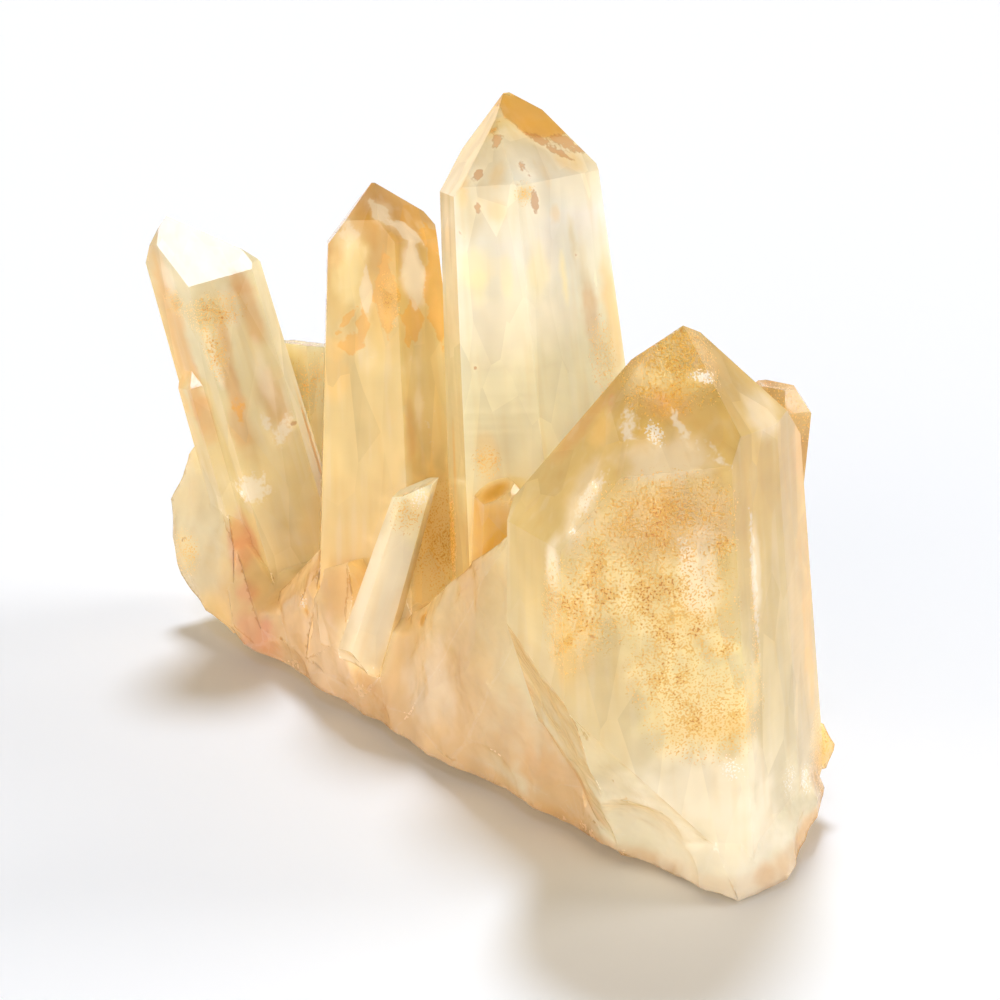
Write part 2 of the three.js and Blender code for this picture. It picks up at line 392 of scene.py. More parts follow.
# what a mark is: its colour, how far it clouds the quartz, and the layer of the surface that gives it a crisp border
markKinds = {
    "honey": ("#F3CB7C", 0.1, None),
    "amber": ("#F4D494", 0.1, "amber"),
    "tan": ("#E2B072", 0.0, None),
    "cream": ("#FCF5E4", 0.12, None),
    "pale": ("#FAEFD6", 0.1, "pale"),
    "lemon": ("#FBEFB4", 0.15, None),
    "orange": ("#FFE6A4", 0.2, None),
    "umber": ("#BE8A48", 0.1, None),
    "rose": ("#DE9874", 0.1, None),
    "brownish": ("#D9A562", 0.1, None),
    "greyish": ("#E0D7B6", 0.1, None),
    "gold": ("#E6B650", 0.15, "gold"),
    "speck": ("#F6E2A8", 0.05, "speck"),
    "brown": (None, 0.1, "brown"),
    "veil": (None, 0.1, "veil"),
    # white chips with painted glints on them, their border crisp in the material
    "chipsAndGlints": (None, 0.2, "chipsAndGlints"),
}

# stains, veils and chips, the chips with painted glints: kind, height up the axis and angle round it from face 0,
# half length and half width in mm, strength, and the tilt off the axis in degrees where it has one
quartzMarks = {
    "left": [
        ("tan", 68, 35, 4, 2, 0.8), ("brownish", 61, 37, 8, 2.0, 0.8), ("brownish", 40, 35, 8, 3, 0.7),
        ("brownish", 57, 0, 7, 1.4, 0.8), ("brownish", 47, -8, 10, 1.8, 0.9),
        ("amber", 41, -8, 5, 2.0, 0.5), ("brownish", 36, -12, 8, 3, 0.8),
        ("brownish", 47, -66, 9, 1.6, 0.9), ("brownish", 40, -61, 6, 2.0, 0.8),
        ("honey", 55, -95, 24, 5, 0.9), ("brownish", 62, -85, 18, 4, 0.6),
        ("cream", 63, 19, 5, 1.8, 0.7), ("greyish", 59, -33, 5, 2.2, 0.6),
        ("cream", 71, -68, 4, 2.6, 0.7), ("cream", 54, -19, 8, 1.0, 0.9),
        ("cream", 46, 32, 8, 1.6, 0.6), ("greyish", 40, 44, 4, 0.8, 0.8), ("veil", 22, -20, 5, 6, 0.9),
        ("veil", 33, 34, 5, 2.2, 0.9, 35), ("veil", 36, 20, 4, 1.5, 0.7),
        ("chipsAndGlints", 21, -37, 1.5, 1.2, 1.0), ("brown", 34, 43, 1.2, 1.0, 0.8),
        # the thin gold line at 28 mm and 61 degrees is a painted golden glow where the left crystal meets the middle
        # one
        ("gold", 28, 61, 12, 0.7, 0.9), ("speck", 63, -5, 4, 7, 0.8), ("speck", 55, -16, 7, 2.5, 0.6),
        ("speck", 66, -70, 3, 4, 0.7), ("rose", 12, -53, 6, 2, 0.7), ("rose", 8, -46, 6, 2.5, 0.7),
        ("honey", 60, 150, 14, 4, 0.7), ("brownish", 45, 185, 9, 2, 0.7), ("speck", 52, 130, 9, 4, 0.7),
        ("veil", 25, 170, 8, 5, 0.7), ("tan", 68, 200, 6, 4, 0.5),
    ],
    "middle": [
        ("lemon", 63, -14, 8, 5, 0.9), ("cream", 62, 56, 8, 3, 0.8), ("tan", 78, 2, 4, 4, 0.7),
        ("tan", 74, 70, 8, 8, 0.5), ("amber", 69, 84, 3, 3, 0.8), ("pale", 75, 24, 4, 1.6, 0.8, -40),
        ("pale", 71, 55, 4, 1.6, 0.9, -50), ("pale", 71, -17, 4, 3, 0.6),
        ("brownish", 66, -34, 3, 2.4, 0.6), ("amber", 65, 27, 4, 2.2, 0.5),
        ("pale", 59, 6, 5, 1.4, 1.0), ("amber", 58, 28, 7, 2.5, 1.0), ("amber", 54, 29, 3, 1.1, 0.9),
        ("speck", 57, 30, 6, 2, 1.0), ("pale", 62, 56, 7, 2.6, 1.0), ("amber", 58, 80, 10, 2.6, 1.0),
        ("amber", 53, 78, 4, 2.2, 0.9), ("amber", 53, 52, 4, 2.4, 1.0), ("amber", 49, 45, 3, 0.9, 0.7),
        ("amber", 52, 1, 3, 1.6, 0.85), ("amber", 48, -12, 2.6, 3.6, 0.7),
        ("honey", 47, -28, 3, 4, 0.9), ("amber", 53, -18, 4, 0.7, 0.9, 40),
        ("honey", 42, -30, 6, 3.5, 0.9), ("pale", 46, 5, 4, 2.4, 0.4), ("pale", 43, 47, 4, 1.8, 0.4),
        ("tan", 30, 42, 8, 1.6, 0.7), ("cream", 35, 51, 5, 1.2, 0.5), ("veil", 30, 60, 12, 3, 0.4),
        ("orange", 6, 62, 16, 12, 1.3), ("speck", 6, 62, 12, 7, 0.5), ("orange", 0, 45, 8, 4, 0.8),
        ("honey", 55, 160, 12, 5, 0.7), ("amber", 62, 200, 7, 2.6, 0.9), ("amber", 54, 175, 5, 2, 0.8),
        ("pale", 66, 172, 5, 2, 0.8), ("speck", 40, 210, 12, 6, 0.7), ("tan", 75, 190, 6, 7, 0.5),
        ("veil", 22, 190, 8, 6, 0.6),
    ],
    "tall": [
        ("gold", 92, 135, 4, 9, 1.0), ("gold", 88, 118, 2.4, 5, 1.0), ("gold", 94, -100, 1.5, 2, 0.8),
        ("brown", 86, 82, 1.6, 3.2, 0.9, 40), ("brown", 83, 95, 1.2, 3.4, 0.9, 50),
        ("brown", 85, 115, 2.2, 2.6, 0.8), ("brown", 83, 117, 2, 2.6, 0.7),
        ("brown", 87, -9, 2, 1.4, 0.9), ("gold", 89, -19, 2.2, 1.0, 0.6),
        ("brown", 81, -19, 1.7, 1.1, 1.0), ("brown", 75, -17, 1.7, 1.1, 0.8),
        ("brown", 82, 22, 1.5, 1.2, 0.8), ("brown", 80, 30, 1.5, 0.8, 0.8),
        ("brown", 75, 29, 3, 1.2, 1.0), ("speck", 77, 20, 2, 2, 0.8), ("honey", 81, -2, 2.4, 1.6, 0.5),
        ("honey", 74, -2, 2.6, 2.2, 0.5), ("honey", 72, 54, 1.8, 1.4, 0.5),
        ("honey", 80, 50, 2.6, 1.4, 0.4), ("honey", 81, 97, 2, 3, 0.6), ("honey", 78, -27, 3, 1.2, 0.7),
        ("greyish", 72, -24, 5, 3, 0.7), ("brown", 70, -28, 0.7, 1.6, 0.6, 50),
        ("lemon", 63, -20, 5, 4.2, 0.6), ("lemon", 60, -19, 4, 2.4, 0.5), ("lemon", 61, 1, 5, 1.6, 0.4),
        ("lemon", 62, 25, 6, 2.6, 0.6), ("lemon", 60, 56, 6, 1.0, 0.8),
        ("greyish", 66, 73, 5, 1.0, 1.0), ("greyish", 57, 83, 9, 1.7, 1.0),
        ("brown", 55, 94, 2.6, 0.6, 0.45), ("tan", 51, 85, 7, 2.2, 0.6),
        ("brown", 63, 76, 0.8, 0.6, 0.8), ("brown", 44, -24, 0.6, 0.6, 0.8),
        ("greyish", 45, -20, 1.6, 2.4, 0.5), ("greyish", 43.5, 2, 0.7, 16, 0.5, 4),
        ("cream", 52, 0, 7, 14, 0.5), ("cream", 74, -55, 10, 3, 0.5), ("honey", 50, 104, 14, 2, 0.8),
        ("speck", 42, 90, 8, 3, 0.6), ("honey", 27, -20, 4, 2.6, 0.6), ("speck", 25, -20, 3, 2.6, 0.7),
        ("honey", 22, -60, 10, 1.4, 0.8), ("speck", 8, -72, 9, 3, 1.0), ("amber", 6, -74, 8, 3, 0.7),
        ("cream", 68, 30, 14, 3, 0.4), ("brown", 84, 200, 1.6, 1.2, 0.8),
        ("brown", 78, 175, 2, 1.1, 0.8), ("lemon", 64, 190, 8, 5, 0.6), ("honey", 40, 215, 12, 3, 0.7),
        ("speck", 30, 185, 12, 6, 0.7), ("veil", 20, 200, 8, 6, 0.6), ("greyish", 52, 170, 8, 2, 0.7),
    ],
    "big": [
        ("brownish", 84, 20, 5, 8, 0.7), ("speck", 80, 20, 8, 9, 0.9), ("brownish", 77, -17, 4, 4, 0.7),
        ("tan", 78, 46, 5, 4, 0.6), ("honey", 75, 9, 2.4, 5, 0.9), ("speck", 74, 0, 4, 7, 0.7),
        ("brownish", 72, 0, 2.6, 6, 0.9), ("brown", 72, 6, 1.2, 4, 0.5),
        ("rose", 73, -3, 0.7, 2.2, 0.6, 60), ("rose", 71, -48, 0.7, 2.0, 0.6, 60),
        ("chipsAndGlints", 75, 36, 1.4, 2.6, 1.0), ("chipsAndGlints", 68, -9, 1.7, 2.8, 1.0, 50),
        ("brownish", 66, -66, 8, 2.2, 0.8, 20), ("honey", 67, -49, 3, 3, 0.9),
        ("veil", 69, -25, 3, 4, 0.8, 60), ("veil", 58, -40, 7, 2, 0.8, 30),
        ("cream", 56, -41, 8, 4, 0.5), ("chipsAndGlints", 53, -42, 0.9, 1.2, 1.0),
        ("chipsAndGlints", 60, -38, 0.8, 1.2, 0.9), ("cream", 46, -49, 6, 1.8, 0.9),
        ("cream", 64, -5, 4, 9, 0.7), ("veil", 69, 7, 1.0, 5, 1.0, 65), ("veil", 64, 22, 2, 6, 0.6, 60),
        ("cream", 66, 66, 4, 6, 0.6), ("speck", 55, -6, 7, 13, 0.8), ("speck", 53, -10, 3, 9, 1.0, 75),
        ("speck", 47, -12, 8, 12, 0.6), ("speck", 57, -20, 3, 5, 0.7), ("speck", 43, -33, 12, 4, 0.8),
        ("speck", 41, -18, 9, 10, 1.0), ("speck", 36, 4, 12, 9, 0.6), ("speck", 34, -1, 7, 7, 1.0),
        ("gold", 35, 1, 3, 5, 0.45), ("speck", 28, 18, 2.4, 3, 1.0), ("speck", 24, -6, 8, 7, 0.9),
        ("speck", 48, 20, 2.5, 3, 0.9), ("tan", 53, 0, 8, 13, 0.6), ("lemon", 36, -10, 12, 11, 0.4),
        ("lemon", 18, 8, 12, 13, 0.7), ("speck", 15, 12, 9, 11, 0.8), ("honey", 12, 15, 3, 8, 0.5),
        ("brown", 43.5, -36.5, 9, 0.45, 0.6, 3), ("brown", 56, -33, 2.5, 0.4, 0.5, -35),
        ("speck", 37, -44, 10, 5, 0.9), ("brown", 33, -36, 0.8, 1.8, 0.6, 40),
        ("honey", 31, -43, 9, 4, 0.7), ("veil", 47, 4, 8, 2.5, 0.7), ("cream", 42, 10, 9, 3.5, 0.6),
        ("cream", -2, 8, 10, 16, 0.8), ("chipsAndGlints", 3, 20, 4, 3, 0.7), ("chipsAndGlints", -8, 60, 6, 4, 0.6),
        ("chipsAndGlints", -12, 74, 4, 3, 0.8), ("honey", 14, 90, 16, 2.6, 0.9),
        ("honey", 40, 100, 20, 6, 0.7), ("veil", 38, 40, 22, 1.5, 0.8), ("cream", 40, 43, 10, 1.6, 0.6),
        ("speck", 26, 38, 16, 1.2, 0.5), ("honey", 22, 80, 20, 5, 0.4), ("greyish", 40, 70, 14, 5, 0.3),
        ("brownish", 54, 95, 8, 4, 0.5), ("speck", 50, 170, 12, 12, 0.8),
        ("speck", 34, 190, 10, 9, 0.8), ("honey", 62, 200, 10, 8, 0.6),
        ("brownish", 72, 180, 5, 8, 0.6), ("veil", 60, 150, 5, 6, 0.7), ("lemon", 25, 170, 12, 12, 0.6),
        ("speck", 72, 160, 6, 8, 0.7), ("brown", 44, 215, 10, 0.5, 0.6, 8),
    ],
    "white": [
        ("cream", 10, -20, 18, 8, 0.6), ("chipsAndGlints", 31, 20, 3, 3, 0.8), ("lemon", 26, 40, 6, 3, 0.5),
        ("speck", 27, -10, 4, 4, 0.6),
    ],
    "rearRight": [("brownish", 42, 0, 5, 9, 0.6), ("speck", 40, 60, 6, 8, 0.5)],
    "rearLeft": [("brownish", 40, 25, 2, 2, 0.7), ("speck", 34, 25, 8, 6, 0.5)],
    "backA": [("speck", 24, 180, 6, 5, 0.7), ("honey", 15, 200, 6, 4, 0.6)],
    "backB": [("brownish", 30, 150, 4, 4, 0.7), ("veil", 12, 180, 6, 5, 0.6)],
    "backC": [("gold", 24, 170, 2, 3, 0.7), ("speck", 18, 190, 6, 5, 0.7)],
}

# marks on the massive quartz of the root, chips with painted glints among them: kind, place in the part and radius in
# mm, strength
rootMarks = [
    ("rose", (-57, -17, 16), 4, 0.8), ("rose", (-53, -19, 8), 6, 0.8), ("rose", (-48, -18, 7), 5, 0.7),
    ("rose", (-28, -19, 10), 14, 0.15), ("greyish", (-77, -17, 18), 12, 0.9),
    ("greyish", (-80, -12, 30), 14, 0.9), ("speck", (-80, -17, 18), 5, 0.6),
    ("brown", (-81, -17, 21), 1.0, 0.9), ("brown", (-79, -17, 16), 0.8, 0.9),
    ("honey", (-68, -18, 5), 7, 0.7), ("tan", (-32, -16, 28), 6, 0.7), ("tan", (-22, -18, 28), 7, 0.7),
    ("chipsAndGlints", (-36, -18, 21), 2.6, 0.8), ("gold", (-34, -18, 19), 1.8, 0.6),
    ("gold", (1, -14, 28), 1.6, 1.0), ("tan", (-13, -18, 10), 3, 0.8), ("tan", (-9, -19, 6), 5, 0.7),
    ("tan", (19, -17, 44), 7, 0.5), ("gold", (38, -26, 38), 5, 0.6),
    ("brownish", (43, -27, 34), 5, 0.7), ("tan", (20, -20, 20), 16, 0.4),
    ("cream", (84, -10, 8), 14, 0.9), ("cream", (70, -20, 10), 12, 0.6), ("tan", (89, -6, 4), 3, 0.6),
    ("gold", (62, -24, 12), 2, 0.7), ("cream", (8, -19, 18), 11, 0.5),
    ("cream", (-26, -18, 14), 10, 0.35), ("veil", (10, -18, 22), 8, 0.3),
    ("chipsAndGlints", (-10, -19, 14), 2, 0.6), ("umber", (80, 23, 12), 8, 1.1),
    ("umber", (70, 27, 20), 7, 0.7), ("speck", (76, 25, 16), 10, 0.7), ("tan", (48, -20, 10), 13, 0.9),
    ("tan", (38, -21, 17), 10, 0.5), ("tan", (-20, 22, 12), 10, 0.6), ("rose", (20, 24, 8), 7, 0.5),
    ("speck", (0, 24, 14), 8, 0.7), ("gold", (-40, 22, 16), 3, 0.8), ("cream", (45, 24, 10), 10, 0.5),
]


quartzPaint = {
    "sway": (16.0, 6.0),  # mm from bend to bend of the colour bands, and how far they bend
    "tipHeight": 1.27,  # girths, since tip faces stand at 38 degrees to the axis
    "reachFade": 3.0,  # mm below a crystal's reach over which it gives way to the root
    "rootFit": 1.12,  # a point this many girths off every axis belongs to the root
    "rootTop": (50.0, 5.0),  # mm above the table where the root gives way, and how fast
    "blend": 6.0,  # how sharply crystals and root blend into each other where they meet
    "clouds": (6.0, 3.0, 0.1),  # mm across large and small milky clouds, and how far they change the milkiness
    "shading": (7.0, 0.035),  # mm across lighter and darker clouds, and how far they change the colour
    "balance": (0.975, 1.015, 1.0),  # a trace yellower than the colours above
    "brightest": 0.99,
    "ragged": ((5.0, 0.28), (2.2, 0.16)),  # mm across the bends of a mark's border, and their share of the mark
    "softEdge": (0.45, 1.25),  # share of a mark's half size over which its wash fades out
    "wash": 0.75,  # share of its colour that a mark lays on
    "thinWash": 0.35,  # the same for amber and pale patches, which the material draws crisply as well
    "rootScatter": 20.0,  # mm that light spreads in the root; in a crystal it is the girth
    "gloss": 6.0,  # mm across glossier and duller areas
}


# marks are laid over the colour of each crystal: a mark covers what lies within an ellipse or a diamond drawn on the
# crystal's side, or a ball in the root, its border bent by noise
def paintQuartz(piece, paint, tints, marks, broken, edgeWearAndHighlight):
    mesh = piece.data
    p = readRows(mesh.vertices, "co", 3) / mm
    count = len(p)
    swaySize, swayReach = paint["sway"]
    sway = noise(p, swaySize, 11) * swayReach
    names = list(crystals)
    fits, places = [], {}
    for name, spec in crystals.items():
        height, radius, _ = places[name] = crystalPlace(p, spec)
        tip = paint["tipHeight"] * spec["girth"]
        low, high = spec["reach"]
        outside = radius / spec["girth"]
        fit = np.maximum(outside, outside + (height - high + tip) / tip)
        fits.append(fit + np.maximum(low - height, 0) / paint["reachFade"])
    rootTop, rootFade = paint["rootTop"]
    fits.append(paint["rootFit"] + np.maximum(p[:, 2] - rootTop, 0) / rootFade)
    fits = np.array(fits)
    owner = np.argmin(fits, axis=0)
    share = np.exp(-paint["blend"] * (fits - fits.min(0)))
    share /= share.sum(0)

    tint = np.zeros((count, 3))
    milk, shade, scatter = np.zeros(count), np.zeros(count), np.zeros(count)
    largeCloud, smallCloud, cloudiness = paint["clouds"]
    shadeSize, shadeDepth = paint["shading"]
    for index, name in enumerate(names + ["root"]):
        at = (p[:, 2] if name == "root" else places[name][0]) + sway
        heights, colours, milks = zip(*tints[name])
        colours = np.array([linear(colour) for colour in colours])
        for channel in range(3):
            tint[:, channel] += share[index] * np.interp(at, heights, colours[:, channel])
        milk += share[index] * np.interp(at, heights, milks)
        along, front, right = axes(crystals[name]) if name != "root" else np.eye(3)[[2, 1, 0]]
        turned = p @ np.stack([right, front, along], axis=1) + 50 * index  # clouds are drawn out along each crystal
        clouds = noise(turned / np.array([1, 1, 2.2]), largeCloud, 12)
        clouds += 0.5 * noise(turned / np.array([1, 1, 1.6]), smallCloud, 15)
        milk += share[index] * cloudiness * clouds
        shade += share[index] * shadeDepth * noise(turned / np.array([1, 1, 2]), shadeSize, 16)
        spread = paint["rootScatter"] if name == "root" else crystals[name]["girth"]
        scatter += share[index] * spread * mm
    tint = np.minimum(tint * (1 + shade)[:, None] * np.array(paint["balance"]), paint["brightest"])

    layers = {name: np.zeros(count) for name in ("gold", "speck", "brown", "veil", "chipsAndGlints", "amber", "pale")}
    (wideSize, wideBend), (fineSize, fineBend) = paint["ragged"]
    ragged = wideBend * noise(p, wideSize, 13) + fineBend * noise(p, fineSize, 14)
    pointed = ("amber", "pale")  # these end in points, as wedges between inner planes do

    def lay(kind, distance, strength, mine):
        nonlocal milk
        colour, cloud, layer = markKinds[kind]
        soft = mine * (1 - smoothStep(*paint["softEdge"], distance + ragged))
        if colour:
            amount = (soft * strength * paint["thinWash" if layer in pointed else "wash"])[:, None]
            tint[:] = tint * (1 - amount) + amount * np.array(linear(colour))
        milk = milk + cloud * soft * strength
        if layer:
            layers[layer] = np.maximum(layers[layer], mine * strength * np.clip(1.3 - distance, 0, 1))

    for name, group in marks.items():
        height, radius, angle = places[name]
        mine = np.clip(share[names.index(name)] * 2, 0, 1)
        for kind, up, turn, length, width, strength, *tilt in group:
            slant = math.radians(tilt[0]) if tilt else 0.0
            above = height - up
            aside = np.radians((angle - turn + 180) % 360 - 180) * np.maximum(radius, 2)
            along = np.abs(above * math.cos(slant) + aside * math.sin(slant)) / length
            across = np.abs(aside * math.cos(slant) - above * math.sin(slant)) / width
            diamond = markKinds[kind][2] in pointed
            lay(kind, 0.7 * (along + across) if diamond else np.hypot(along, across), strength, mine)
    for kind, centre, reach, strength in rootMarks:
        lay(kind, np.linalg.norm(p - np.array(centre), axis=1) / reach, strength, np.ones(count))
    milk = np.clip(milk, 0, 1)

    owned = p.copy()  # each crystal's own frame, along which the material draws planes, streaks and growth lines
    for index, name in enumerate(names):
        mine = owner == index
        along, front, right = axes(crystals[name])
        off = p[mine] - np.array(crystals[name]["at"])
        owned[mine] = np.stack([off @ right, off @ front, off @ along + 50 * index], axis=1)
    glossiness = np.clip(noise(p, paint["gloss"], 17) * 0.5 + 0.5, 0, 1)
    looks = {
        "tint": (*tint.T, milk),
        "stains": (layers["gold"], layers["speck"], layers["brown"], layers["veil"]),
        # wear carries broken quartz, chips with painted glints, and worn edges with a painted highlight
        "wear": (broken, layers["chipsAndGlints"], edgeWearAndHighlight, np.ones(count)),
        "patches": (layers["amber"], layers["pale"], glossiness, scatter),
    }
    for label, channels in looks.items():
        layer = mesh.attributes.new(label, "FLOAT_COLOR", "POINT")
        layer.data.foreach_set("color", np.stack(channels, axis=1).ravel())
    layer = mesh.attributes.new("growth", "FLOAT_VECTOR", "POINT")
    layer.data.foreach_set("vector", (owned * mm).ravel())


paintQuartz(quartz, quartzPaint, quartzTint, quartzMarks, broken, edgeWearAndHighlight)
print("quartz tinted and stained")


quartzLook = {
    "ior": 1.544,
    "absorb": "#F5D898", "absorbPerMetre": 12.0,
    "scatter": (1.0, 0.74, 0.46),  # how far red, green and blue light spreads, against each other
    "gold": "#CF9432", "ochre": "#E2AC34", "rust": "#BE7030", "brown": "#B4783C", "veil": "#FCF5E4",
    "amber": "#F6B648", "pale": "#FAEBCB", "deep": "#F2D07E", "chipAndHighlightWhite": "#FFFDF7",
    "cover": {"gold": 0.7, "ochre": 0.65, "rust": 0.65, "brown": 0.65, "veil": 0.7, "amber": 0.6, "pale": 0.6},
    "ochreHaze": 0.18,  # how strongly a thin haze of ochre lies round the specks
    "slantDepth": 0.55,  # how much deeper the colour of a face seen aslant is
    "planeLightAndShade": 0.08,  # how far inner planes differ in colour, as painted light and shade
    "planeCloud": 0.12,  # how far they differ in milkiness
    "streakDeep": 0.14, "streakPale": 0.12,
    "grain": 0.374, "clump": 3.6,  # mm from speck to speck and from clump to clump
    "panelWidth": 6.0, "panelLength": 20.0,  # mm, the angular inner planes of a crystal
    "growthLine": 1.1, "growthReach": 30.0,  # mm from line to line, and along a line before it bends
    "streak": 2.4, "streakReach": 26.4,  # mm across a streak and along it
    "border": 2.2, "fineBorder": 0.9,  # mm across the bends in the borders of stains
    "chip": 1.6,  # mm across a chip in broken or worn quartz
    "grit": 3.2,  # mm across the uneven spots of broken quartz
    "gloss": (0.05, 0.14),  # roughness of grown faces, from the glossiest to the dullest
    "bumpDepth": 0.7,  # mm
    "bumpStrength": 0.7,
}


# Natural quartz, grown faces glossy, broken ones frosted: clear glassy crystal clouded by veils, so light passes and
# scatters, with yellow iron oxide on faces and in cracks
def quartzMaterial(look):
    material = bpy.data.materials.new("naturalQuartz")
    material.use_nodes = True
    tree = material.node_tree
    tree.nodes.clear()
    add = functools.partial(addNode, tree)
    soft = {"interpolation_type": "SMOOTHSTEP"}

    # repeats to a metre of a pattern of the given size in mm
    def per(size):
        return 1 / (size * mm)

    # place on a crystal, in repeats of a pattern that is so many mm across and along it
    def grow(across, along):
        return add("Mapping", {"Vector": growth, "Scale": (per(across), per(across), per(along))})

    # a stain's field raised by noise and cut off sharply, which gives it a crisp, ragged border
    def crisp(field, ragged, weight, low, high):
        raised = add("Math", (ragged, weight, field), operation="MULTIPLY_ADD")
        cut = add("MapRange", (raised, low, high), **soft)
        inside = add("MapRange", (field, 0.05, 0.3), **soft)
        return add("Math", (cut, inside), operation="MULTIPLY")

    # a pigment laid over the colour where its cover is, as strongly as given
    def lay(under, name, cover, strength, blend="MIX"):
        amount = add("Math", (cover, strength), operation="MULTIPLY")
        pigment = linear(look[name]) + (1.0,)
        return add("Mix", {0: amount, 6: under, 7: pigment}, out=2, data_type="RGBA", blend_type=blend)

    tint, stains, wear, patches = (
        add("Attribute", out="Color", attribute_name=name) for name in ("tint", "stains", "wear", "patches"))
    gold, speck, brown = add("SeparateColor", (stains,)).node.outputs
    # the worn channel carries worn edges, which get white wear and a painted highlight
    frost, chipsAndGlints, worn = add("SeparateColor", (wear,)).node.outputs
    amberField, paleField, glossiness = add("SeparateColor", (patches,)).node.outputs
    milk, veil, spread = (socket.node.outputs["Alpha"] for socket in (tint, stains, patches))
    growth = add("Attribute", out="Vector", attribute_name="growth")
    spot = add("TexCoord", out="Object")
    plain = add("Math", (1.0, frost), operation="SUBTRACT")

    # angular inner planes, longer along each crystal; their paler and deeper colour is painted light and shade, their
    # milkiness the quartz's own
    cells = grow(look["panelWidth"], look["panelLength"])
    panel = add("TexVoronoi", {"Vector": cells, "Scale": 1.0}, out="Color", feature="F1")
    paler, deeper, milkier = add("SeparateColor", (panel,)).node.outputs
    paler = add("MapRange", (paler, 0.5, 1.0, 0.0, look["planeLightAndShade"]), **soft)
    colour = lay(tint, "veil", paler, plain)
    deeper = add("MapRange", (deeper, 0.5, 1.0, 0.0, look["planeLightAndShade"]), **soft)
    deeper = add("Math", (deeper, plain), operation="MULTIPLY")
    colour = add("Mix", {0: deeper, 6: colour, 7: tint}, out=2, data_type="RGBA", blend_type="MULTIPLY")

    # fine streaks along each crystal, some deeper and some veiled
    drawn = grow(look["streak"], look["streakReach"])
    streaks = add("TexNoise", {"Vector": drawn, "Scale": 1.0, "Detail": 1.0, "Roughness": 0.6})
    deepStreaks = add("MapRange", (streaks, 0.5, 0.75, 0.0, look["streakDeep"]), **soft)
    colour = lay(colour, "deep", deepStreaks, plain, "MULTIPLY")
    paleStreaks = add("MapRange", (streaks, 0.25, 0.46, look["streakPale"], 0.0), **soft)
    colour = lay(colour, "veil", paleStreaks, plain)

    # a face seen aslant looks through more quartz, so its colour is deeper
    aslant = add("LayerWeight", {"Blend": 0.35}, out="Facing")
    aslant = add("MapRange", (aslant, 0.25, 0.9), **soft)
    colour = lay(colour, "deep", aslant, look["slantDepth"], "MULTIPLY")

    # the border noise that gives films, patches and veils their ragged edges
    border = add("TexNoise", {"Vector": spot, "Scale": per(look["border"]), "Detail": 2.0, "Roughness": 0.65})
    fine = add("TexNoise", {"Vector": spot, "Scale": per(look["fineBorder"]), "Detail": 1.0, "Roughness": 0.6})

    # amber and pale patches, iron in and behind cracks
    amber = crisp(amberField, border, 0.7, 0.7, 0.84)
    colour = lay(colour, "amber", amber, look["cover"]["amber"])
    pale = crisp(paleField, border, 0.7, 0.74, 0.9)
    colour = lay(colour, "pale", pale, look["cover"]["pale"])

    # veils: feathery white sheets
    feathers = add("Math", (border, 0.8), operation="MULTIPLY")
    feathers = add("Math", (fine, 0.8, feathers), operation="MULTIPLY_ADD")
    veiled = crisp(veil, feathers, 1.0, 1.25, 1.65)
    colour = lay(colour, "veil", veiled, look["cover"]["veil"])

    # gold iron film
    film = crisp(gold, border, 0.7, 0.75, 0.88)
    colour = lay(colour, "gold", film, look["cover"]["gold"])

    # iron specks: fine grains gathered in clumps, ochre with rust-brown hearts
    grains = add("TexNoise", {"Vector": spot, "Scale": per(look["grain"]), "Detail": 0.0})
    clumps = add("TexNoise", {"Vector": spot, "Scale": per(look["clump"]), "Detail": 1.0, "Roughness": 0.6})
    clumps = add("MapRange", (clumps, 0.38, 0.68, 0.35, 1.0), **soft)
    crowd = add("MapRange", (speck, 0.0, 0.9), **soft)
    gather = add("Math", (crowd, clumps), operation="MULTIPLY")
    level = add("Math", (gather, 0.3, grains), operation="MULTIPLY_ADD")
    inside = add("MapRange", (speck, 0.02, 0.2), **soft)
    ochre = add("MapRange", (level, 0.65, 0.74), **soft)
    ochre = add("Math", (ochre, inside), operation="MULTIPLY")
    rust = add("MapRange", (level, 0.88, 0.97), **soft)
    rust = add("Math", (rust, inside), operation="MULTIPLY")
    colour = lay(colour, "ochre", gather, look["ochreHaze"])
    colour = lay(colour, "ochre", ochre, look["cover"]["ochre"])
    colour = lay(colour, "rust", rust, look["cover"]["rust"])

    # brown inclusions and veins
    crumbs = add("Math", (border, 0.5), operation="MULTIPLY")
    crumbs = add("Math", (fine, 0.6, crumbs), operation="MULTIPLY_ADD")
    inclusion = crisp(brown, crumbs, 1.0, 1.0, 1.25)
    colour = lay(colour, "brown", inclusion, look["cover"]["brown"])

    # chips and worn edges are white, the edges of broken quartz hardly so; the white is partly real wear and partly
    # painted glints on the chips and a painted highlight along the edges
    chipAndGlintMask = crisp(chipsAndGlints, grains, 1.4, 1.35, 1.55)
    wornEdgeAndHighlightLevel = add("Math", (fine, 0.8, worn), operation="MULTIPLY_ADD")
    wornEdgeAndHighlightLevel = add("MapRange", (wornEdgeAndHighlightLevel, 1.2, 1.45), **soft)
    onFaces = add("Math", (frost, -0.85, 1.0), operation="MULTIPLY_ADD")
    edgeWhiteAndHighlight = add("Math", (wornEdgeAndHighlightLevel, onFaces), operation="MULTIPLY")
    chipAndGlintCover = add("Math", (chipAndGlintMask, 0.8), operation="MULTIPLY")
    edgeWearAndHighlightCover = add("Math", (edgeWhiteAndHighlight, 0.45), operation="MULTIPLY")
    white = add("Math", (chipAndGlintCover, edgeWearAndHighlightCover), operation="MAXIMUM")
    colour = lay(colour, "chipAndHighlightWhite", white, 1.0)

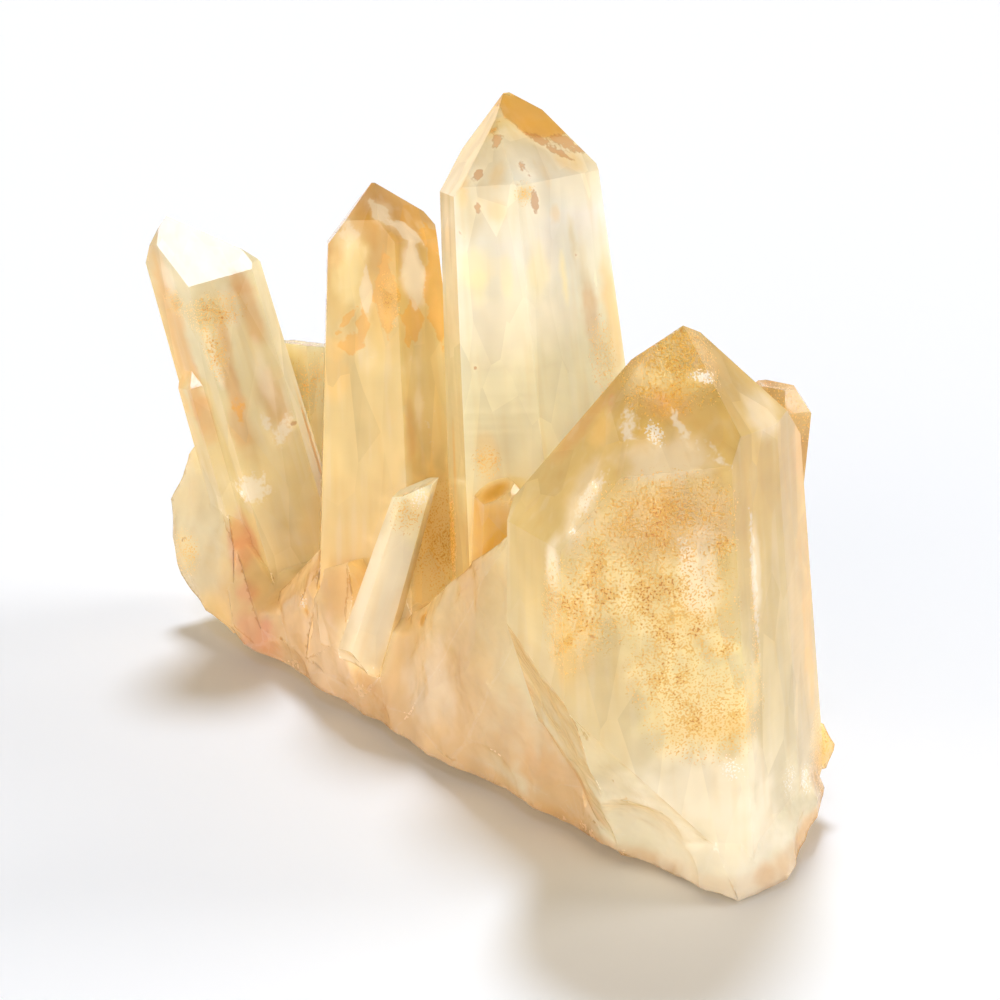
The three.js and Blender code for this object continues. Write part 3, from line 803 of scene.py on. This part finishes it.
    # milkiness hides the inside, and so do stains, veils and chips
    cloudy = add("Math", (milkier, 0.5), operation="SUBTRACT")
    cloudy = add("Math", (cloudy, plain), operation="MULTIPLY")
    cloudy = add("Math", (cloudy, look["planeCloud"], milk), operation="MULTIPLY_ADD")
    hiders = ((film, 0.7), (ochre, 0.8), (inclusion, 1.0), (veiled, 0.6), (chipAndGlintMask, 0.7), (amber, 0.75))
    for cover, strength in hiders:
        hidden = add("Math", (cover, strength), operation="MULTIPLY")
        cloudy = add("Math", (cloudy, hidden), operation="MAXIMUM")
    cloudy = add("Clamp", (cloudy,))
    clear = add("Math", (1.0, cloudy), operation="SUBTRACT")

    # roughness: glossy grown faces, duller where stained, worn or broken
    gloss = add("MapRange", (glossiness, 0.2, 0.8, *look["gloss"]), **soft)
    dull = add("Math", (film, ochre), operation="MAXIMUM")
    dull = add("Math", (dull, edgeWhiteAndHighlight), operation="MAXIMUM")
    rough = add("Math", (dull, 0.25, gloss), operation="MULTIPLY_ADD")
    rough = add("Math", (frost, 0.1, rough), operation="MULTIPLY_ADD")

    # growth lines across the prism faces, small scooped chips where the quartz is broken or worn
    ribs = grow(look["growthReach"], look["growthLine"])
    lines = add("TexNoise", {"Vector": ribs, "Scale": 1.0, "Detail": 0.0})
    chips = add("TexNoise", {"Vector": spot, "Scale": per(look["chip"]), "Detail": 0.0})
    grit = add("TexNoise", {"Vector": spot, "Scale": per(look["grit"]), "Detail": 1.0, "Roughness": 0.6})
    lineHeight = add("Math", (plain, 0.05), operation="MULTIPLY")
    chipHeight = add("Math", (chipsAndGlints, 0.8), operation="MULTIPLY")
    chipHeight = add("Math", (frost, 0.12, chipHeight), operation="MULTIPLY_ADD")
    gritHeight = add("Math", (frost, 0.35, 0.03), operation="MULTIPLY_ADD")
    relief = add("Math", (lines, lineHeight), operation="MULTIPLY")
    relief = add("Math", (chips, chipHeight, relief), operation="MULTIPLY_ADD")
    relief = add("Math", (grit, gritHeight, relief), operation="MULTIPLY_ADD")
    bump = add("Bump", {"Strength": look["bumpStrength"], "Distance": look["bumpDepth"] * mm, "Height": relief})

    shader = add("BsdfPrincipled", {
        "Base Color": colour, "Roughness": rough, "IOR": look["ior"], "Transmission Weight": clear, "Normal": bump,
        "Subsurface Weight": 1.0, "Subsurface Radius": look["scatter"], "Subsurface Scale": spread,
    }, subsurface_method="BURLEY")
    absorb = add("VolumeAbsorption", {"Color": linear(look["absorb"]) + (1.0,), "Density": look["absorbPerMetre"]})
    add("OutputMaterial", {"Surface": shader, "Volume": absorb})
    return material


quartz.data.materials.clear()
quartz.data.materials.append(quartzMaterial(quartzLook))
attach(quartz, "root")
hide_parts("quartz_cluster")
print("quartz material done")


stage = {
    "floor": "#FEFEFD", "roughness": 0.9,
    "size": 6.0,  # metres
}


def makeFloor(spec):
    half = spec["size"] / 2
    mesh = bpy.data.meshes.new("floor")
    corners = [(-half, -half, 0), (half, -half, 0), (half, half, 0), (-half, half, 0)]
    mesh.from_pydata(corners, [], [(0, 1, 2, 3)])
    floor = bpy.data.objects.new("floor", mesh)
    bpy.context.scene.collection.objects.link(floor)
    material = bpy.data.materials.new("paintedBoard")  # matt white paint, which shows nothing but the shadow
    material.use_nodes = True
    shader = material.node_tree.nodes["Principled BSDF"]
    shader.inputs["Base Color"].default_value = linear(spec["floor"]) + (1.0,)
    shader.inputs["Roughness"].default_value = spec["roughness"]
    mesh.materials.append(material)


makeFloor(stage)

# lights: toward is camera right, depth away from the camera and up; spread in degrees, flux in watts per square metre
lamps = {
    "overhead": {"toward": (0.0, 0.41, 0.91), "spread": 13.0, "flux": 1.65, "colour": (0.89, 1.02, 1.23)},
    "side": {"toward": (0.85, 0.12, 0.42), "spread": 26.0, "flux": 1.0, "colour": (1, 1, 1)},
    "fill": {"toward": (-0.6, -0.75, 0.28), "spread": 60.0, "flux": 0.85, "colour": (1.14, 0.97, 0.72)},
    "front": {"toward": (-0.12, -0.39, 0.91), "spread": 8.0, "flux": 0.16, "colour": (0.95, 1.0, 1.25)},
}
# soft light from all round: brightness low down and high up, the degrees up between which it falls, and its colour
sky = {"horizon": 1.3, "zenith": 0.08, "low": 12.0, "high": 34.0, "colour": (1.12, 0.965, 0.76)}


def makeLamps(specs, place):
    azimuth = math.radians(place["azimuth"])
    right = Vector((math.cos(azimuth), math.sin(azimuth), 0))
    depth = Vector((-math.sin(azimuth), math.cos(azimuth), 0))
    for name, spec in specs.items():
        across, away, up = spec["toward"]
        toward = (right * across + depth * away + Vector((0, 0, up))).normalized()
        data = bpy.data.lights.new(name, "SUN")
        data.angle = math.radians(spec["spread"])
        data.energy = spec["flux"]
        data.color = spec["colour"]
        lamp = bpy.data.objects.new(name, data)
        lamp.location = toward
        lamp.rotation_euler = (-toward).to_track_quat("-Z", "Y").to_euler()
        bpy.context.scene.collection.objects.link(lamp)


def makeSky(spec):
    world = bpy.data.worlds.new("whiteStudio")
    world.use_nodes = True
    tree = world.node_tree
    way = addNode(tree, "TexCoord", out="Generated")
    up = addNode(tree, "SeparateXYZ", (way,), out="Z")
    low, high = math.sin(math.radians(spec["low"])), math.sin(math.radians(spec["high"]))
    glow = addNode(tree, "MapRange", (up, low, high, spec["horizon"], spec["zenith"]))
    background = tree.nodes["Background"]
    background.inputs["Color"].default_value = spec["colour"] + (1,)
    tree.links.new(glow, background.inputs["Strength"])
    bpy.context.scene.world = world


makeLamps(lamps, cameraPlace)
makeSky(sky)

scene = bpy.context.scene
scene.view_settings.view_transform = "Standard"
scene.cycles.max_bounces = 9
scene.cycles.diffuse_bounces = 2
scene.cycles.transmission_bounces = 6
scene.cycles.transparent_max_bounces = 12
scene.cycles.caustics_refractive = True
scene.cycles.use_denoising = True
print("floor, lights and sky set")
